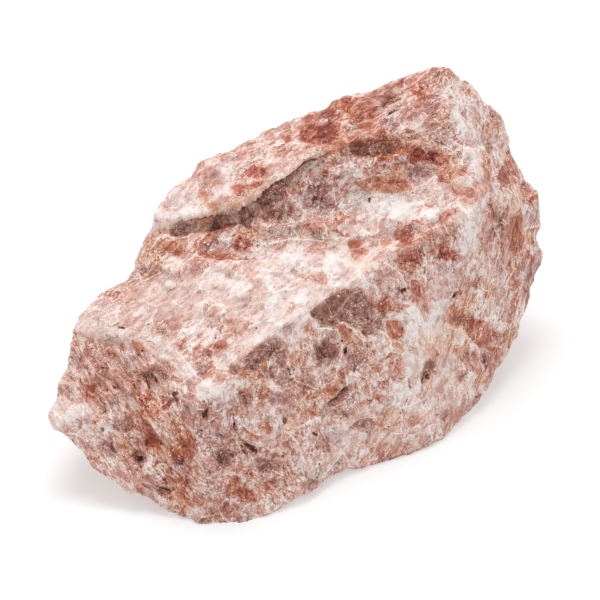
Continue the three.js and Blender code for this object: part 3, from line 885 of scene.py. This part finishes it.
def makeAventurine(fieldNames):
    spec, tones = aventurine, aventurine["tones"]
    material = bpy.data.materials.new("aventurineQuartzite")
    material.use_nodes = True
    tree = material.node_tree
    tree.nodes.clear()
    add = partial(addNode, tree)
    times, unsigned = {"operation": "MULTIPLY"}, {"operation": "ABSOLUTE"}
    soft = {"interpolation_type": "SMOOTHSTEP"}
    values = {name: add("Attribute", [], "Fac", attribute_name=name) for name in fieldNames}

    def summed(start, *parts):  # the start plus each value's height over its middle, times its weight
        middles = sum(part[1] * part[2] for part in parts if len(part) > 2)
        if middles:
            start = start - middles if isinstance(start, float) else add("Math", [start, -middles])
        for value, weight, *_ in parts:
            start = add("Math", [value, weight, start], operation="MULTIPLY_ADD")
        return start

    def shape(name):
        result = 1.0
        for value, low, high in spec["shapes"][name]:
            step = add("MapRange", [values[value], low, high], **soft)
            result = add("Math", [result, step], **times)
        return result

    def shifted(vector, size, amount):  # moves the pattern about by noise, in mm
        wave = add("TexNoise", {"Vector": vector, "Scale": 1 / size}, "Color")
        offset = add("VectorMath", [wave, (0.5, 0.5, 0.5)], operation="SUBTRACT")
        return add("VectorMath", [offset, (amount,) * 3, vector], operation="MULTIPLY_ADD")

    inMm = add("Mapping", {"Vector": add("TexCoord", [], "Object"), "Scale": (1 / mm,) * 3})
    bent = inMm
    for bend in spec["bends"]:
        bent = shifted(bent, *bend)
    flow = shifted(add("Attribute", [], "Vector", attribute_name="flow"), *spec["flowBend"])

    # noises; those drawn out along the flow are plain where two flows meet
    for name, (size, *others) in spec["noises"].items():
        settings = {"Scale": 1 / size, **dict(zip(("Detail", "Roughness", "Distortion"), others))}
        plain = values[name] = add("TexNoise", {"Vector": inMm, **settings})
        if name in spec["drawnOut"]:
            along = add("TexNoise", {"Vector": flow, **settings})
            change = add("Math", [plain, along], operation="SUBTRACT")
            values[name] = add("Math", [values["flowJoin"], change, along], operation="MULTIPLY_ADD")
            values[name + "Plain"] = plain
    cloud, hue = values["cloud"], values["hue"]

    # three random numbers for each grain, small grain and pit; the way to a grain's rim in mm
    randoms = {}
    for name, vector in (("grain", bent), ("smallGrain", bent), ("pit", inMm)):
        values[name] = add("TexVoronoi", {"Vector": vector, "Scale": 1 / spec[name]})
        randoms[name] = add("SeparateColor", [values[name].node.outputs["Color"]]).node.outputs
    grain, smallGrain = randoms["grain"], randoms["smallGrain"]
    values["pitChance"] = randoms["pit"][0]
    toRim = add("TexVoronoi", {"Vector": bent, "Scale": 1 / spec["grain"]}, feature="DISTANCE_TO_EDGE")
    values["rim"] = add("Math", [toRim, spec["grain"]], **times)

    # tone: grains, their mottle along the rock's flow, fine grit
    mottle = shape("mottle")
    for name in ("curl", "seam"):
        values[name] = add("Math", [summed(0.0, (values[name], 2.0, 0.5))], **unsigned)
    threads, cracks = shape("threads"), shape("cracks")
    fineTone = summed(0.0, (mottle, tones["mottle"], 0.5), (threads, tones["threads"]),
                      (cracks, tones["cracks"]), (values["grit"], tones["grit"], 0.5))
    calm = summed(values["paler"], (values["chalky"], spec["chalkCalms"]))
    # the paler field lightens the tone, in part as painted highlight along ridges and painted light on the
    # front flank
    tone = summed(spec["mean"], (grain[0], tones["grain"], 0.5), (smallGrain[0], tones["smallGrain"], 0.5),
                  (cloud, tones["cloud"], 0.5), (values["paler"], 1.0),
                  (fineTone, add("MapRange", [calm, *spec["calm"]], **soft)))

    # where each palette shows: some grains by chance and by the washes
    chances = {
        "rust": summed(values["stained"], (grain[1], 0.5, 0.5), (hue, 1.6, 0.5)),
        "mauve": summed(0.0, (grain[2], 0.6, 0.5), (hue, -1.4, 0.5)),
        "clear": summed(values["clear"], (smallGrain[2], 0.9, 0.5)),
        "red": summed(0.0, (grain[2], 0.9, 0.5), (hue, 1.0, 0.5)),
        "milky": summed(values["chalky"], (cloud, 0.8, 0.5)),
    }
    palettes = {name: 0.0 for name in ("rust", "mauve", "clear", "red", "brown", "cream", "milky")}
    for name, chance in chances.items():
        palettes[name] = add("MapRange", [chance, *spec["chances"][name]], **soft)

    # the marks, whose rims follow the small grains; each covers the palettes under it
    torn = summed(0.0, (smallGrain[1], 0.5, 0.5), (mottle, 0.35, 0.5))
    for name, (palette, strength, lighter) in spec["minerals"].items():
        values["mark"] = values[name] if name == "speck" else add("Math", [values[name], torn])
        inside = shape("mark")
        tone = summed(tone, (inside, lighter))
        outside = summed(1.0, (inside, -strength))
        for other in palettes:
            if other != palette:
                palettes[other] = add("Math", [palettes[other], outside], **times)
        own = add("Math", [inside, strength], **times)
        palettes[palette] = add("Math", [palettes[palette], own], operation="MAXIMUM")

    # the slab's lip with its cream edge, the painted shadow in the gap under it and the painted shade below;
    # cracks, veins, rims, pits and painted glints
    wobble = summed(0.0, (values["wobble"], 0.9, 0.5), (smallGrain[2], 0.25, 0.5))
    for name, amount in (("lip", 1.0), ("crack", 0.6), ("vein", 0.7)):
        values[name + "Side"] = summed(values[name + "Side"], (wobble, amount))
        values[name + "Gap"] = add("Math", [values[name + "Side"]], **unsigned)
    details = {name: shape(name) for name in "edge gap shade split vein rims pits flecks".split()}
    tone = summed(tone, *((value, tones[name]) for name, value in details.items()))
    creamy = add("Math", [details["edge"], add("MapRange", [cloud, *spec["creamEdge"]], **soft)], **times)
    palettes["cream"] = add("Math", [palettes["cream"], creamy], operation="MAXIMUM")

    # the rose ramp over all, then each palette's ramp where it shows
    colour = None
    for name, share in {"rose": 1.0, **palettes}.items():
        ramp = add("ValToRGB", [tone])
        elements = ramp.node.color_ramp.elements
        while len(elements) < len(spec["tonePlaces"]):
            elements.new(0.5)
        for element, place, hexColour in zip(elements, spec["tonePlaces"], spec[name].split()):
            element.position, element.color = place, linear(hexColour)
        colour = ramp if colour is None else add("Mix", {0: share, 6: colour, 7: ramp}, 2, data_type="RGBA")

    rough = add("MapRange", [mottle, *spec["roughness"]], **soft)
    rough = summed(rough, (details["flecks"], spec["fleckShine"]))
    raised = {"grit": values["grit"], "smallGrain": smallGrain[0], "pits": details["pits"], "cracks": cracks}
    bumps = [(raised[name], amount) for name, amount in spec["bumps"].items()]
    height = summed(values["mottlePlain"], *bumps)
    bump = add("Bump", {"Height": height, "Distance": spec["bump"] * mm, "Strength": 1.0})
    skin = {"Base Color": colour, "Roughness": rough, "Normal": bump, **spec["surface"]}
    shader = add("BsdfPrincipled", skin)
    add("OutputMaterial", {"Surface": shader})
    return material


studio = {
    # a light table under white sky; in metres: the floor's reach, where the lights aim, the camera's range
    "floor": 2.0, "floorColour": "#cacbcc", "floorRoughness": 0.9, "floorGlow": 0.38, "sky": 0.73,
    "target": (0, 0, 0.02), "clip": (0.01, 10),
    # each softbox: place in mm from the stone, width, height in mm, power in watts
    "softboxes": {"overhead": ((-40, 125, 500), 320, 260, 1.45)},
}


def makeStudio(cam):
    far = studio["floor"]
    mesh = bpy.data.meshes.new("floor")
    mesh.from_pydata([(-far, -far, 0), (far, -far, 0), (far, far, 0), (-far, far, 0)], [], [(0, 1, 2, 3)])
    floor = bpy.data.objects.new("floor", mesh)
    bpy.context.collection.objects.link(floor)
    paper = bpy.data.materials.new("whitePaper")
    paper.use_nodes = True
    shader = paper.node_tree.nodes["Principled BSDF"]
    shader.inputs["Base Color"].default_value = linear(studio["floorColour"])
    shader.inputs["Roughness"].default_value = studio["floorRoughness"]
    shader.inputs["Emission Color"].default_value = (1, 1, 1, 1)
    shader.inputs["Emission Strength"].default_value = studio["floorGlow"]
    mesh.materials.append(paper)
    world = bpy.data.worlds.new("studioWorld")
    world.use_nodes = True
    world.node_tree.nodes["Background"].inputs["Color"].default_value = (1, 1, 1, 1)
    world.node_tree.nodes["Background"].inputs["Strength"].default_value = studio["sky"]
    bpy.context.scene.world = world
    target = Vector(studio["target"])
    forward = np.cross(np.array([0, 0, 1]), cam["right"])
    for name, (place, width, height, power) in studio["softboxes"].items():
        light = bpy.data.lights.new(name, "AREA")
        light.shape, light.size, light.size_y, light.energy = "RECTANGLE", width * mm, height * mm, power
        box = bpy.data.objects.new(name, light)
        above = np.array([0, 0, place[2]])
        box.location = Vector((cam["right"] * place[0] + forward * place[1] + above) * mm)
        box.rotation_euler = (target - box.location).to_track_quat("-Z", "Y").to_euler()
        bpy.context.collection.objects.link(box)
    lens = bpy.data.cameras.new("photoCamera")
    lens.lens, lens.sensor_fit = photoView["lens"], "HORIZONTAL"
    lens.sensor_width = lens.sensor_height = photoView["sensor"]
    lens.clip_start, lens.clip_end = studio["clip"]
    camera = bpy.data.objects.new("photoCamera", lens)
    camera.location = Vector(cam["place"] * mm)
    camera.rotation_euler = Vector(cam["back"]).to_track_quat("Z", "Y").to_euler()
    bpy.context.collection.objects.link(camera)
    bpy.context.scene.camera = camera
    bpy.context.scene.view_settings.view_transform = "Standard"
    bpy.context.scene.view_settings.look = "None"


places, quads, hit, shift = stoneSurface()
print("stone surface:", len(places), "points,", 2 * len(quads), "triangles, moved by", shift.round(2), "mm")
cam = photoCamera(shift)
makeStudio(cam)
fields = paintFields(places, quads, cam)
places = embossed(places, quads, fields)
fields["flow"], fields["flowJoin"] = flowPlaces(places, quads, hit)
stoneMesh = makeMesh("roughStone", places, quads)
for name, values in fields.items():
    addField(stoneMesh, name, values)
roughStone = bpy.data.objects.new("roughStone", stoneMesh)
bpy.context.collection.objects.link(roughStone)
stoneMesh.materials.append(makeAventurine(fields))
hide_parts("stone")
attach(roughStone, "root")
print("stone coloured")
